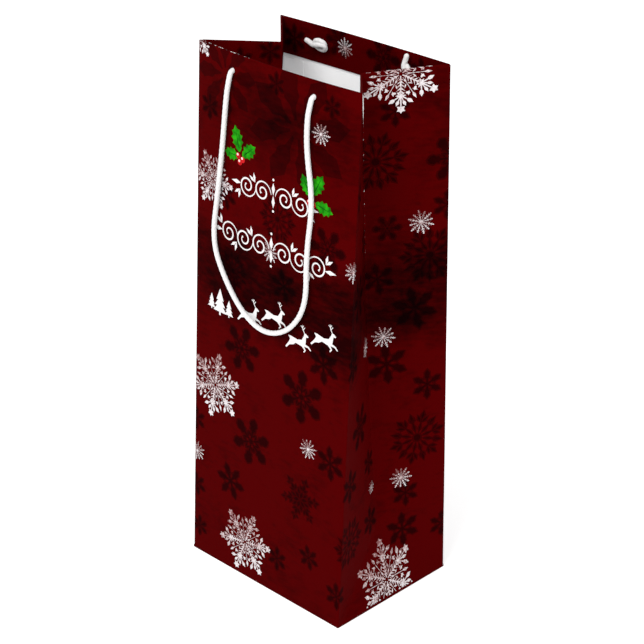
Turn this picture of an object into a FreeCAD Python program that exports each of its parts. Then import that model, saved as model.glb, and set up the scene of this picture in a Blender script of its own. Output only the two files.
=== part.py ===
import FreeCAD, Part
import math
import os
import Sketcher

# A wine gift bag of printed paper, standing open on its folded base, with two rope handles.
# Millimetres. +Z is up, the printed front faces -Y, and the origin is the middle of the base.

DIMENSIONS = {
    "width": 127.0,            # front panel, corner to corner
    "depth": 95.0,             # front to back at the base
    "height": 330.0,           # base to rim
    "ply": 0.3,                # printed paper, with its laminate
    "lean": 14.0,              # how far each panel has come in at the rim
    "foot_rise": 47.0,         # apex of the triangle that each gusset makes at its foot
    "hem_depth": 22.5,         # paper turned in at the rim
    "card_depth": 20.0,        # reinforcing strip inside the front and back hems
    "card_ply": 0.6,           # thickness of that strip
    "hem_margin": 2.0,         # hems and strips stop this far short of the corners
    "layer_gap": 0.05,         # air between a gusset's hem and the hem beside it
    "seam_width": 15.0,        # glue flap inside the back left corner
    "seam_margin": 1.5,        # from the corner to the glue flap
    "seam_top": 305.0,         # the glue flap stops under the hem
    "flap_reach": 55.0,        # front and back base flaps, past the middle of the base
    "side_reach": 38.0,        # base flaps of the two gussets
    "flap_taper": 12.0,        # how much narrower a base flap is at its free edge, each end
    "board_ply": 1.0,          # loose board on the base
    "board_width": 120.0,
    "board_depth": 90.0,
    "hole_spread": 63.0,       # between a handle's two holes
    "hole_rise": 320.0,
    "hole_bore": 4.0,
    "rope": 3.0,               # diameter of the handle rope
    "stub_out": 4.1,           # rope end standing out of its hole, fixed to the panel
    "knot": 9.0,               # across a knot pulled tight
    "knot_gap": 0.3,           # a knot pulls up this close to its hem
    "tail": 12.0,              # rope end past the knot, from its middle
    "short_tail": 8.5,         # the same, on the knot whose tail stands up under the rim
}

# Routes of the two handles, hole to hole, as they hang. Each point is where two straight runs meet.
FRONT_ROUTE = [
    (-31.5, -40.0, 320.0), (-34.0, -40.3, 305.0), (-37.0, -40.7, 277.0), (-41.0, -41.4, 247.0),
    (-46.0, -42.2, 215.0), (-34.8, -43.3, 194.5), (-18.5, -44.3, 177.5), (0.6, -44.8, 171.0),
    (19.8, -44.3, 179.5), (32.3, -43.4, 199.0), (31.2, -42.6, 229.0), (35.2, -41.5, 261.0),
    (29.8, -41.0, 290.0), (29.8, -40.5, 308.0), (31.5, -40.0, 320.0),
]
BACK_ROUTE = [
    (-31.5, 40.0, 320.0), (-34.0, 40.2, 304.0), (-36.0, 40.4, 277.0), (-40.0, 41.2, 248.0),
    (-43.0, 42.3, 218.0), (-36.0, 43.4, 194.0), (-20.0, 44.2, 177.0), (0.0, 44.5, 171.0),
    (21.0, 44.2, 178.0), (36.0, 43.3, 195.0), (42.0, 42.2, 221.0), (39.0, 41.2, 250.0),
    (36.0, 40.5, 278.0), (33.5, 40.2, 305.0), (31.5, 40.0, 320.0),
]
ARC_SHARE = 0.45               # of the shorter run, taken up by a bend's arc
VOLUME_TOLERANCE = 0.01

GUSSET_LEVELS = ["Dims.foot_rise", "110", "210", "Dims.height"]
FIRST_LEVEL = "1"              # a gusset half starts this far above the corner it narrows to
FOOT_TIP = "(Dims.foot_rise - 1)"

doc = FreeCAD.newDocument("wine_gift_bag")
sheet = doc.addObject("Spreadsheet::Sheet", "Dims")
for row, (alias, value) in enumerate(DIMENSIONS.items(), start=1):
    sheet.set(f"A{row}", alias)
    sheet.set(f"B{row}", str(value))
    sheet.setAlias(f"B{row}", alias)
doc.recompute()

subparts = []


def body_named(label):
    body = doc.addObject("PartDesign::Body", label)
    body.Label = label
    subparts.append(body)
    return body


def outline(body, name, role, points, level=None):
    """A closed polygon on one of the body's origin planes, each corner bound to two expressions."""
    sketch = body.newObject("Sketcher::SketchObject", name)
    plane = next(f for f in body.Origin.OriginFeatures if f.Role == role)
    sketch.AttachmentSupport = [(plane, "")]
    sketch.MapMode = "FlatFace"
    if level:
        sketch.setExpression("AttachmentOffset.Base.z", level)
    count = len(points)
    turn = 2 * math.pi / count
    ring = [FreeCAD.Vector(math.cos(turn * k), math.sin(turn * k), 0) for k in range(count)]
    for k in range(count):
        sketch.addGeometry(Part.LineSegment(ring[k], ring[(k + 1) % count]), False)
    for k in range(count):
        sketch.addConstraint(Sketcher.Constraint("Coincident", k, 2, (k + 1) % count, 1))
    for k, (across, up) in enumerate(points):
        for kind, guess, rule in (("DistanceX", ring[k].x, across), ("DistanceY", ring[k].y, up)):
            number = sketch.addConstraint(Sketcher.Constraint(kind, -1, 1, k, 1, guess))
            sketch.setExpression(f"Constraints[{number}]", rule)
    return sketch


def pad(body, sketch, length):
    """The sketch made solid, equally to both sides of its plane."""
    solid = body.newObject("PartDesign::Pad", "Pad")
    solid.Profile = sketch
    solid.setExpression("Length", length)
    solid.Midplane = True
    return solid


def loft(body, sections):
    """A ruled solid through polygons at rising levels: [(level, points), ...]."""
    sketches = [outline(body, f"Section{k}", "XY_Plane", points, level)
                for k, (level, points) in enumerate(sections)]
    solid = body.newObject("PartDesign::AdditiveLoft", "Loft")
    solid.Profile = sketches[0]
    solid.Sections = sketches[1:]
    solid.Ruled = True
    return solid


def drill(body, side):
    """The two handle holes, through the layers on one side (-1 front, +1 back) of the bag."""
    sketch = body.newObject("Sketcher::SketchObject", "Holes")
    plane = next(f for f in body.Origin.OriginFeatures if f.Role == "XZ_Plane")
    sketch.AttachmentSupport = [(plane, "")]
    sketch.MapMode = "FlatFace"
    for k, end in enumerate((-1, 1)):
        centre = FreeCAD.Vector(end, 1, 0)
        sketch.addGeometry(Part.Circle(centre, FreeCAD.Vector(0, 0, 1), 0.5), False)
        rules = [
            (Sketcher.Constraint("Diameter", k, 1.0), "Dims.hole_bore"),
            (Sketcher.Constraint("DistanceX", -1, 1, k, 3, float(end)), f"{end} * Dims.hole_spread / 2"),
            (Sketcher.Constraint("DistanceY", -1, 1, k, 3, 1.0), "Dims.hole_rise"),
        ]
        for constraint, rule in rules:
            number = sketch.addConstraint(constraint)
            sketch.setExpression(f"Constraints[{number}]", rule)
    doc.recompute()
    before = body.Shape.Volume
    cut = body.newObject("PartDesign::Pocket", "HandleHoles")
    cut.Profile = sketch
    cut.setExpression("Length", "Dims.depth")
    cut.Reversed = side < 0
    doc.recompute()
    if body.Shape.Volume >= before:
        raise RuntimeError(f"{body.Label}: the handle holes cut nothing")


# ---- The bag's cross-section, as rules on the sheet ----

PLY = "Dims.ply"
HALF_LENGTH = "(Dims.depth / 2)"     # of a gusset's paper, from corner to crease

def panel_y(level):
    """Half the depth over the panels' outer faces, at a height."""
    return f"(Dims.depth / 2 - Dims.lean * ({level}) / Dims.height)"


def crease_in(level):
    """How far a gusset's middle crease is pushed in: its paper keeps its width as the panels close."""
    return f"sqrt((Dims.depth / 2)^2 - {panel_y(level)}^2)"


def gusset_section(level, side, face, inner, outer, start):
    """One half of a gusset at a height: the layer from inner to outer under its printed face.
    side is -1 left or 1 right, face -1 front or 1 back, start the layers already on the panel there."""
    reach, push = panel_y(level), crease_in(level)

    def corner(layer):
        x = f"Dims.width / 2 - ({start}) * {push} / {reach} - ({layer}) * {HALF_LENGTH} / {reach}"
        return (f"{side} * ({x})", f"{face} * ({reach} - ({start}))")

    def crease(layer):
        x = f"Dims.width / 2 - {push} - ({layer}) * {HALF_LENGTH} / {reach}"
        return (f"{side} * ({x})", "0")

    return [corner(inner), corner(outer), crease(outer), crease(inner)]


def foot_x(level, layer):
    """The sloping foot triangle's face, from the base edge to the apex on the crease."""
    return f"(Dims.width / 2 - {crease_in('Dims.foot_rise')} * ({level}) / Dims.foot_rise - ({layer}))"


def foot_y(level):
    return f"(Dims.depth / 2 * (1 - ({level}) / Dims.foot_rise))"


def slab_profile(face, low, high, near, far):
    """A leaning layer seen from the side: from near to far inside a panel's face, between two heights."""
    return [
        (f"{face} * ({panel_y(low)} - ({near}))", low),
        (f"{face} * ({panel_y(low)} - ({far}))", low),
        (f"{face} * ({panel_y(high)} - ({far}))", high),
        (f"{face} * ({panel_y(high)} - ({near}))", high),
    ]


# ---- Panels, hems and their cards ----

CARD_FAR = "Dims.ply + Dims.card_ply"
HEM_FAR = "2 * Dims.ply + Dims.card_ply"
HEM_LOW = "(Dims.height - Dims.hem_depth)"
SIDES = {"front": -1, "back": 1}

for face_name, face in SIDES.items():
    layers = {
        f"{face_name}_panel": ("0", "Dims.height", "0", PLY, "Dims.width"),
        f"{face_name}_hem_card": ("(Dims.height - Dims.card_depth)", "(Dims.height - Dims.ply)", PLY, CARD_FAR,
                                  "Dims.width - 2 * Dims.hem_margin"),
        f"{face_name}_hem": (HEM_LOW, "Dims.height", CARD_FAR, HEM_FAR, "Dims.width - 2 * Dims.hem_margin"),
    }
    for label, (low, high, near, far, across) in layers.items():
        layer = body_named(label)
        pad(layer, outline(layer, "Profile", "YZ_Plane", slab_profile(face, low, high, near, far)), across)
        drill(layer, face)

# ---- Gussets: two halves that meet in the pushed-in crease, their turned-in hems, and the foot ----

for side_name, side in (("left", -1), ("right", 1)):
    for half_name, face in (("front", -1), ("rear", 1)):
        half = body_named(f"{side_name}_gusset_{half_name}")
        first = gusset_section(FIRST_LEVEL, side, face, "0", PLY, PLY)
        tip_x = foot_x(FIRST_LEVEL, "0")
        tip_y = foot_y(FIRST_LEVEL)
        first[2] = (f"{side} * ({tip_x} - 1.2 * {PLY})", f"{face} * {tip_y}")
        first[3] = (f"{side} * ({tip_x} - 0.1 * {PLY})", f"{face} * {tip_y}")
        sections = [(FIRST_LEVEL, first)]
        sections += [(level, gusset_section(level, side, face, "0", PLY, PLY)) for level in GUSSET_LEVELS]
        loft(half, sections)

        hem = body_named(f"{side_name}_hem_{half_name}")
        loft(hem, [(level, gusset_section(level, side, face, PLY, f"2 * {PLY}", f"{HEM_FAR} + Dims.layer_gap"))
                   for level in (HEM_LOW, "Dims.height")])

    foot = body_named(f"{side_name}_gusset_foot")
    foot_sections = []
    for level in (f"3 * {PLY}", FOOT_TIP):
        near, far, reach = foot_x(level, "0"), foot_x(level, PLY), f"({foot_y(level)} - 2 * Dims.ply)"
        if level == FOOT_TIP:
            reach = "Dims.ply"
        foot_sections.append((level, [
            (f"{side} * {near}", f"-1 * {reach}"), (f"{side} * {near}", reach),
            (f"{side} * {far}", reach), (f"{side} * {far}", f"-1 * {reach}"),
        ]))
    loft(foot, foot_sections)

# ---- The glue flap inside the back left corner ----

seam = body_named("seam_flap")
seam_sketch = outline(seam, "Profile", "YZ_Plane",
                      slab_profile(1, f"4 * {PLY}", "Dims.seam_top", PLY, f"2 * {PLY}"))
seam_pad = seam.newObject("PartDesign::Pad", "Pad")
seam_pad.Profile = seam_sketch
seam_pad.setExpression("Length", "Dims.seam_width")
seam_sketch.setExpression("AttachmentOffset.Base.z", "Dims.seam_margin - Dims.width / 2")

# ---- The folded base: back flap outermost, then the front flap, then the two gusset flaps ----


def base_flap(label, low, points):
    flap = body_named(label)
    sketch = outline(flap, "Profile", "XY_Plane", points, low)
    solid = flap.newObject("PartDesign::Pad", "Pad")
    solid.Profile = sketch
    solid.setExpression("Length", PLY)


wide = "(Dims.width / 2 - Dims.ply)"
deep = "(Dims.depth / 2 - 2 * Dims.ply)"
narrow = "(Dims.width / 2 - Dims.ply - Dims.flap_taper)"
shallow = "(Dims.depth / 2 - 2 * Dims.ply - Dims.flap_taper)"
for label, low, face in (("back_base_flap", "0", 1), ("front_base_flap", PLY, -1)):
    free_edge = f"{face} * ({deep} - Dims.flap_reach)"
    base_flap(label, low, [
        (f"-1 * {wide}", f"{face} * {deep}"), (f"-1 * {narrow}", free_edge),
        (narrow, free_edge), (wide, f"{face} * {deep}"),
    ])
for label, side in (("left_base_flap", -1), ("right_base_flap", 1)):
    free_edge = f"{side} * ({wide} - Dims.side_reach)"
    base_flap(label, f"2 * {PLY}", [
        (f"{side} * {wide}", f"-1 * {deep}"), (free_edge, f"-1 * {shallow}"),
        (free_edge, shallow), (f"{side} * {wide}", deep),
    ])

board = body_named("base_board")
board_sketch = outline(board, "Profile", "XY_Plane", [
    ("-Dims.board_width / 2", "-Dims.board_depth / 2"), ("Dims.board_width / 2", "-Dims.board_depth / 2"),
    ("Dims.board_width / 2", "Dims.board_depth / 2"), ("-Dims.board_width / 2", "Dims.board_depth / 2"),
], f"3 * {PLY}")
board_pad = board.newObject("PartDesign::Pad", "Pad")
board_pad.Profile = board_sketch
board_pad.setExpression("Length", "Dims.board_ply")


# ---- Knots: the rope end through its hole, the knot inside the hem, and the cut tail ----

def knot(label, end, face, shift, tail, tail_turn):
    """shift is how far the knot sits beside its hole; tail_turn is the tail's angle from +X, upwards."""
    hole_x = f"{end} * Dims.hole_spread / 2"
    outer_y = panel_y("Dims.hole_rise")
    centre_y = f"{face} * ({outer_y} - ({HEM_FAR}) - Dims.knot / 2 - Dims.knot_gap)"

    ball = doc.addObject("Part::Sphere", f"{label}_ball")
    ball.setExpression("Radius", "Dims.knot / 2")
    stub = doc.addObject("Part::Cylinder", f"{label}_stub")
    stub.setExpression("Radius", "Dims.rope / 2")
    stub.setExpression("Height", f"Dims.stub_out + {HEM_FAR} + Dims.knot / 2")
    rope_end = doc.addObject("Part::Cylinder", f"{label}_tail")
    rope_end.setExpression("Radius", "Dims.rope / 2")
    rope_end.setExpression("Height", tail)

    stub.Placement.Rotation = FreeCAD.Rotation(FreeCAD.Vector(1, 0, 0), -90 * face)
    rope_end.Placement.Rotation = FreeCAD.Rotation(FreeCAD.Vector(0, 1, 0), 90 - tail_turn)
    for piece, x in ((ball, f"{hole_x} + {shift}"), (stub, hole_x), (rope_end, f"{hole_x} + {shift}")):
        piece.setExpression("Placement.Base.x", x)
        piece.setExpression("Placement.Base.y", centre_y)
        piece.setExpression("Placement.Base.z", "Dims.hole_rise")
    whole = doc.addObject("Part::MultiFuse", label)
    whole.Label = label
    whole.Shapes = [ball, stub, rope_end]
    subparts.append(whole)


knot("front_left_knot", -1, -1, 0.5, "Dims.tail", 200)
knot("front_right_knot", 1, -1, -0.5, "Dims.tail", -20)
knot("back_left_knot", -1, 1, 0.5, "Dims.tail", 176)
knot("back_right_knot", 1, 1, 1.5, "Dims.short_tail", 80)


# ---- Handles: a tube along straight runs joined by tangent arcs ----

def rope_path(label, route):
    """The route's runs with an arc at each bend, as one wire. Prints every bend's radius."""
    points = [FreeCAD.Vector(*p) for p in route]
    edges = []
    start = points[0]
    radii = []
    for before, here, after in zip(points, points[1:], points[2:]):
        run_in, run_out = here - before, after - here
        half_turn = run_in.getAngle(run_out) / 2
        trim = ARC_SHARE * min(run_in.Length, run_out.Length)
        radii.append(trim / math.tan(half_turn))
        way_in = FreeCAD.Vector(run_in).normalize()
        way_out = FreeCAD.Vector(run_out).normalize()
        arc_start = here - way_in * trim
        arc_end = here + way_out * trim
        sagitta = radii[-1] * (1 / math.cos(half_turn) - 1)
        middle = here + (way_out - way_in).normalize() * sagitta
        edges.append(Part.LineSegment(start, arc_start).toShape())
        edges.append(Part.Arc(arc_start, middle, arc_end).toShape())
        start = arc_end
    edges.append(Part.LineSegment(start, points[-1]).toShape())
    print(label, "bend radii", [round(r, 1) for r in radii])
    return Part.Wire(edges)


def handle(label, route):
    path = rope_path(label, route)
    radius = float(sheet.rope) / 2
    first = path.Edges[0]
    ring = Part.Circle(first.valueAt(first.FirstParameter), first.tangentAt(first.FirstParameter), radius)
    solid = path.makePipeShell([Part.Wire([ring.toShape()])], True, True)
    expected = math.pi * radius ** 2 * path.Length
    print(label, "length", round(path.Length, 1), "volume", round(solid.Volume), "of", round(expected))
    if abs(solid.Volume / expected - 1) > VOLUME_TOLERANCE:
        raise RuntimeError(f"{label}: the tube's volume isn't its section times its length")
    tube = doc.addObject("Part::Feature", label)
    tube.Label = label
    tube.Shape = solid
    tube.Placement = FreeCAD.Placement()
    subparts.append(tube)


handle("front_handle_cord", FRONT_ROUTE)
handle("back_handle_cord", BACK_ROUTE)

# ---- Check everything, then write one file for each sub-part ----

doc.recompute()
for item in doc.Objects:
    if "Invalid" in item.State or "Error" in item.State:
        raise RuntimeError(f"{item.Name} failed: {item.State}")
for item in subparts:
    if item.Shape.isNull() or not item.Shape.isValid():
        raise RuntimeError(f"{item.Label} has no valid shape")
os.makedirs("parts", exist_ok=True)
for item in subparts:
    item.Shape.exportStep(f"parts/{item.Label}.step")
    print(item.Label, round(item.Shape.Volume, 1), "solids", len(item.Shape.Solids))
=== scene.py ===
import math

import bpy
import numpy as np
from mathutils import Matrix, Vector
from mathutils.geometry import delaunay_2d_cdt


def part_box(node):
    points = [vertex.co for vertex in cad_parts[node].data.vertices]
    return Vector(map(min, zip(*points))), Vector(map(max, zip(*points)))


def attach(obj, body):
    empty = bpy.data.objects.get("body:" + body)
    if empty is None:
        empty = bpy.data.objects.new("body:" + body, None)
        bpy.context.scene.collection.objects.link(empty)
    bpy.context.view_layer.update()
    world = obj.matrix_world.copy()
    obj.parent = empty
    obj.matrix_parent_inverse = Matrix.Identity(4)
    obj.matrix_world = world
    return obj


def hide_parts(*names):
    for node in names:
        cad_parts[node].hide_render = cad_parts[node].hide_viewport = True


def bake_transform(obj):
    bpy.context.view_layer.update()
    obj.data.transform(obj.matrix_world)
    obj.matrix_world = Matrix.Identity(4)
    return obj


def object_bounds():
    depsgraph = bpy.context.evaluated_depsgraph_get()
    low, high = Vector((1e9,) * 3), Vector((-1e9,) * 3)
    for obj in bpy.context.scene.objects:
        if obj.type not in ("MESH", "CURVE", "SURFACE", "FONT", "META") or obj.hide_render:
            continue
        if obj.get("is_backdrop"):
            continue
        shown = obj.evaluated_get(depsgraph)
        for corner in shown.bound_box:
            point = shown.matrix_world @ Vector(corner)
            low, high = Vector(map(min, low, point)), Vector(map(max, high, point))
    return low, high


# A wine gift bag: one sheet of printed paper, creased and folded, with two rope handles.
# The print is cut into the sheet while it is flat, and the sheet is then folded up.
# Lengths are millimetres until a mesh is made, when MM turns them into metres, unless a comment says
# that they are metres already.

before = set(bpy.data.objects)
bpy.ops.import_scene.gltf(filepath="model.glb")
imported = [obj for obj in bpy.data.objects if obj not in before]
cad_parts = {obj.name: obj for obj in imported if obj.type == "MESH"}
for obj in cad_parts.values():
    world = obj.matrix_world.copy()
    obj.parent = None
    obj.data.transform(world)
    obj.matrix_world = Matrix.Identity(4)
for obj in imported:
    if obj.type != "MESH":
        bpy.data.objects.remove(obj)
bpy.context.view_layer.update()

MM = 0.001
TAU = 2 * math.pi

# Sizes in millimetres, most of them read from the CAD frame.
front_low, front_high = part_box("front_panel")
WIDTH = (front_high.x - front_low.x) / MM
HEIGHT = (front_high.z - front_low.z) / MM
DEPTH = -2 * front_low.y / MM
PLY = 0.3
LEAN = (front_high.y - front_low.y) / MM - PLY  # how far each panel leans in by the rim
HEM_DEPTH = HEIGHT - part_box("front_hem")[0].z / MM
FOOT_RISE = 47.0             # the height of a gusset's triangular foot
FOLD_RADIUS = 0.6            # half the thickness of the rim's turned-in stack
CREASE_RADIUS = 1.0
GIRTH = 2 * (WIDTH + DEPTH)
HOLE_SPREAD = 63.0
HOLE_RISE = 320.0

# How the finished bag's paper strays from its scored shape, in millimetres at most.
FRONT_BOW = 4.5
BACK_BOW = 1.4
GUSSET_BOW = 0.8
GUSSET_SLACK = 1.8           # how far the mouth lets each crease back out at the rim
LEFT_DIP = 1.6               # how far the rim sinks at the left crease
RIGHT_DIP = 5.9              # at the right crease
CORNER_DIP = 1.6             # and at the front right corner
BACK_FLARE = 2.8             # how far the soft back folds stand out past the scored width at the rim
BUCKLE = 0.22                # the height of the slight waves in the panels


def link(name, data):
    """A new object in the scene."""
    made = bpy.data.objects.new(name, data)
    bpy.context.scene.collection.objects.link(made)
    return made


# ---- camera

# In metres.
CAMERA_AZIMUTH = math.radians(44.29)
CAMERA_ELEVATION = math.radians(25.75)
CAMERA_ROLL = math.radians(0.39)
CAMERA_DISTANCE = 1.1046
CAMERA_LENS = 104.5
CAMERA_TARGET = Vector((0, 0, 0.165))
CAMERA_SLIDE = (0.00166, -0.00129)  # right and up, to frame the bag


def make_camera():
    azimuth, elevation = CAMERA_AZIMUTH, CAMERA_ELEVATION
    back = Vector((math.sin(azimuth) * math.cos(elevation),
                   -math.cos(azimuth) * math.cos(elevation), math.sin(elevation)))
    level_right = (-back).cross(Vector((0, 0, 1))).normalized()
    level_up = level_right.cross(-back)
    turn = CAMERA_ROLL
    right = level_right * math.cos(turn) + level_up * math.sin(turn)
    up = level_up * math.cos(turn) - level_right * math.sin(turn)
    place = CAMERA_TARGET + back * CAMERA_DISTANCE + right * CAMERA_SLIDE[0] + up * CAMERA_SLIDE[1]
    camera = link("camera", bpy.data.cameras.new("camera"))
    camera.matrix_world = Matrix.Translation(place) @ Matrix((right, up, back)).transposed().to_4x4()
    camera.data.lens = CAMERA_LENS
    camera.data.sensor_width = 36.0
    camera.data.clip_start = 0.05
    camera.data.clip_end = 20.0
    bpy.context.scene.camera = camera


make_camera()


# ---- materials

def new_material(name, roughness, specular=0.35):
    material = bpy.data.materials.new(name)
    material.use_nodes = True
    shader = material.node_tree.nodes["Principled BSDF"]
    shader.inputs["Roughness"].default_value = roughness
    shader.inputs["Specular IOR Level"].default_value = specular
    return material, material.node_tree, shader


def feed(tree, socket, value):
    """Link a node's output to a socket, or set the socket to a plain value."""
    if isinstance(value, bpy.types.NodeSocket):
        tree.links.new(value, socket)
    elif socket.type == "RGBA":
        socket.default_value = (*value, 1.0)
    else:
        socket.default_value = value


def add(tree, kind, inputs=None, **settings):
    """A node with its settings made and its inputs set or linked."""
    node = tree.nodes.new(kind)
    for name, value in settings.items():
        setattr(node, name, value)
    for name, value in (inputs or {}).items():
        feed(tree, node.inputs[name], value)
    return node


def noise(tree, scale, detail=4.0, roughness=0.55, stretch=None):
    """Noise over the object's own coordinates, which stretch scales along each axis."""
    where = add(tree, "ShaderNodeTexCoord").outputs["Object"]
    if stretch:
        where = add(tree, "ShaderNodeMapping", {"Vector": where, "Scale": stretch}).outputs["Vector"]
    node = add(tree, "ShaderNodeTexNoise", {"Vector": where, "Scale": scale, "Detail": detail,
                                            "Roughness": roughness})
    return node.outputs["Fac"]


def ramp(tree, factor, stops):
    """A colour ramp: stops are (position, (r, g, b))."""
    node = add(tree, "ShaderNodeValToRGB", {"Fac": factor})
    elements = node.color_ramp.elements
    while len(elements) < len(stops):
        elements.new(0.5)
    for element, (position, colour) in zip(elements, stops):
        element.position = position
        element.color = (*colour, 1.0)
    return node.outputs["Color"]


def mix(tree, factor, first, second, blend="MIX"):
    node = add(tree, "ShaderNodeMix", data_type="RGBA", blend_type=blend)
    for slot, value in ((0, factor), (6, first), (7, second)):
        feed(tree, node.inputs[slot], value)
    return node.outputs[2]


def maths(tree, operation, first, second=0.0, third=0.0):
    node = add(tree, "ShaderNodeMath", operation=operation)
    for slot, value in enumerate((first, second, third)):
        feed(tree, node.inputs[slot], value)
    return node.outputs[0]


def centred(tree, factor, swing):
    """A factor from 0 to 1 as a swing about zero."""
    return maths(tree, "MULTIPLY_ADD", factor, swing, -swing / 2)


def attribute(tree, name):
    return add(tree, "ShaderNodeAttribute", attribute_name=name).outputs["Fac"]


def bump(tree, shader, height, strength, distance=0.0002):
    node = add(tree, "ShaderNodeBump", {"Height": height, "Strength": strength, "Distance": distance})
    tree.links.new(node.outputs["Normal"], shader.inputs["Normal"])


PAPER_WHITE = (0.76, 0.75, 0.74)
PRINT_GLOSS = 0.004          # the laminate's specular level
WEAR_LIMIT = 1.12            # rubbing above this shows the paper
WEAR_CONTRAST = 9.0
MOST_WORN = 0.9


def finish_print(tree, shader, colour):
    """What every ink shares: white paper where the creases are worn, and the laminate's faint grain."""
    rub = maths(tree, "ADD", attribute(tree, "wear"), maths(tree, "MULTIPLY", noise(tree, 420.0, 3.0), 0.9))
    worn = maths(tree, "MULTIPLY", maths(tree, "SUBTRACT", rub, WEAR_LIMIT), WEAR_CONTRAST)
    shown = maths(tree, "MINIMUM", maths(tree, "MAXIMUM", worn, 0.0), MOST_WORN)
    tree.links.new(mix(tree, shown, colour, PAPER_WHITE), shader.inputs["Base Color"])
    sheen = maths(tree, "MULTIPLY_ADD", noise(tree, 60.0, 2.0), 0.10, 0.50)
    tree.links.new(maths(tree, "MULTIPLY_ADD", shown, 0.3, sheen), shader.inputs["Roughness"])
    bump(tree, shader, noise(tree, 1900.0, 5.0, 0.7), 0.10, 0.0001)


def print_mottled(name, bright, dark):
    """The ground's ink: clouds painted over the sheet from bright to dark, broken up by fine blotches."""
    material, tree, shader = new_material(name, 0.5, PRINT_GLOSS)
    cloud = maths(tree, "ADD", attribute(tree, "cloud"), centred(tree, noise(tree, 48.0, 6.0, 0.62), 1.3))
    brushed = noise(tree, 230.0, 5.0, 0.5, stretch=(0.6, 0.6, 1.7))
    level = maths(tree, "ADD", cloud, centred(tree, brushed, 0.9))
    finish_print(tree, shader, ramp(tree, level, [(0.0, bright), (0.12, bright), (0.95, dark)]))
    return material


def print_frost():
    """The ink of the white flakes: glittery, and pinkish where it thins out on each flake's upper side."""
    material, tree, shader = new_material("print_frost", 0.5, PRINT_GLOSS)
    glitter = noise(tree, 700.0, 3.0, 0.75)
    level = maths(tree, "ADD", attribute(tree, "frost"), centred(tree, glitter, 2.4))
    tones = [(0.10, (0.18, 0.07, 0.07)), (0.40, (0.38, 0.28, 0.28)), (0.75, (0.60, 0.57, 0.58))]
    finish_print(tree, shader, ramp(tree, level, tones))
    return material


def print_plain(name, low, high, scale=160.0):
    """A plain ink that varies a little between two colours."""
    material, tree, shader = new_material(name, 0.5, PRINT_GLOSS)
    finish_print(tree, shader, ramp(tree, noise(tree, scale, 4.0), [(0.35, low), (0.65, high)]))
    return material


def bare_paper():
    """The unprinted inside of the sheet."""
    material, tree, shader = new_material("paper_inside", 0.8, 0.2)
    tone = ramp(tree, noise(tree, 30.0, 3.0), [(0.3, (0.94, 0.94, 0.94)), (0.7, (0.96, 0.96, 0.965))])
    tree.links.new(tone, shader.inputs["Base Color"])
    bump(tree, shader, noise(tree, 1500.0, 6.0, 0.75), 0.25, 0.0001)
    return material


def board_material(name, low, high):
    """Uncoated board: soft grey-white with short fibres and flecks."""
    material, tree, shader = new_material(name, 0.85, 0.15)
    fibre = noise(tree, 180.0, 6.0, 0.5, stretch=(1.0, 6.0, 1.0))
    flecks = ramp(tree, noise(tree, 900.0, 2.0), [(0.66, (1.0, 1.0, 1.0)), (0.72, (0.62, 0.58, 0.52))])
    tone = ramp(tree, fibre, [(0.35, low), (0.65, high)])
    tree.links.new(mix(tree, 1.0, tone, flecks, "MULTIPLY"), shader.inputs["Base Color"])
    bump(tree, shader, fibre, 0.3, 0.0002)
    return material


def rope_material():
    """Soft off-white twisted cord: painted shade darkens it between its strands, fine fibres along them."""
    material, tree, shader = new_material("handle_rope", 0.75, 0.2)
    fibre = noise(tree, 1400.0, 5.0, 0.7)
    light = ramp(tree, fibre, [(0.30, (0.60, 0.59, 0.59)), (0.70, (0.70, 0.69, 0.69))])
    # painted shade: the colour darkens where the grooves between the strands are deepest
    shade = ramp(tree, attribute(tree, "groove_and_shade"), [(0.0, (1.0, 1.0, 1.0)), (1.0, (0.90, 0.89, 0.88))])
    tree.links.new(mix(tree, 1.0, light, shade, "MULTIPLY"), shader.inputs["Base Color"])
    shader.inputs["Sheen Weight"].default_value = 0.25
    shader.inputs["Sheen Roughness"].default_value = 0.5
    bump(tree, shader, fibre, 0.35, 0.00015)
    return material


# From the lowest ink to the highest. The dark edge is the half-tone that softens a dark flake's outline.
ink_materials = {
    "ground": print_mottled("print_ground", (0.056, 0.0, 0.0003), (0.0098, 0.0, 0.0002)),
    "dark_edge": print_mottled("print_dark_edge", (0.031, 0.0, 0.0003), (0.0062, 0.0, 0.0002)),
    "dark": print_mottled("print_dark_flake", (0.0145, 0.0, 0.0003), (0.0032, 0.0, 0.0002)),
    "frost": print_frost(),
    "white": print_plain("print_white", (0.62, 0.60, 0.60), (0.67, 0.66, 0.66)),
    "green": print_plain("print_green", (0.004, 0.10, 0.003), (0.020, 0.30, 0.006), 240.0),
    "leaf_rib": print_plain("print_leaf_rib", (0.003, 0.045, 0.004), (0.004, 0.07, 0.006)),
    "berry": print_plain("print_berry", (0.30, 0.006, 0.008), (0.45, 0.012, 0.014)),
    "glint": print_plain("print_glint", (0.85, 0.45, 0.44), (0.90, 0.62, 0.60)),
    "inside": bare_paper(),
}
INKS = tuple(ink_materials)
card_material = board_material("hem_card", (0.62, 0.61, 0.58), (0.74, 0.73, 0.70))
base_board_material = board_material("base_board", (0.55, 0.53, 0.49), (0.68, 0.66, 0.62))
cord_material = rope_material()


# ---- meshes

def link_mesh(name, points, faces, *materials):
    """points in millimetres, as an array; the object is in metres."""
    mesh = bpy.data.meshes.new(name)
    mesh.from_pydata((np.asarray(points) * MM).tolist(), [], [list(map(int, f)) for f in faces])
    mesh.validate()
    mesh.update()
    mesh.polygons.foreach_set("use_smooth", np.ones(len(mesh.polygons), bool))
    for material in materials:
        mesh.materials.append(material)
    return link(name, mesh)


def give_attribute(piece, name, values):
    layer = piece.data.attributes.new(name, "FLOAT", "POINT")
    layer.data.foreach_set("value", np.asarray(values, np.float32))


def on_bag(piece, slot, *nodes):
    """Fix a piece to the bag in place of these CAD nodes."""
    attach(piece, "bag")
    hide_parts(*nodes)


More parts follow.
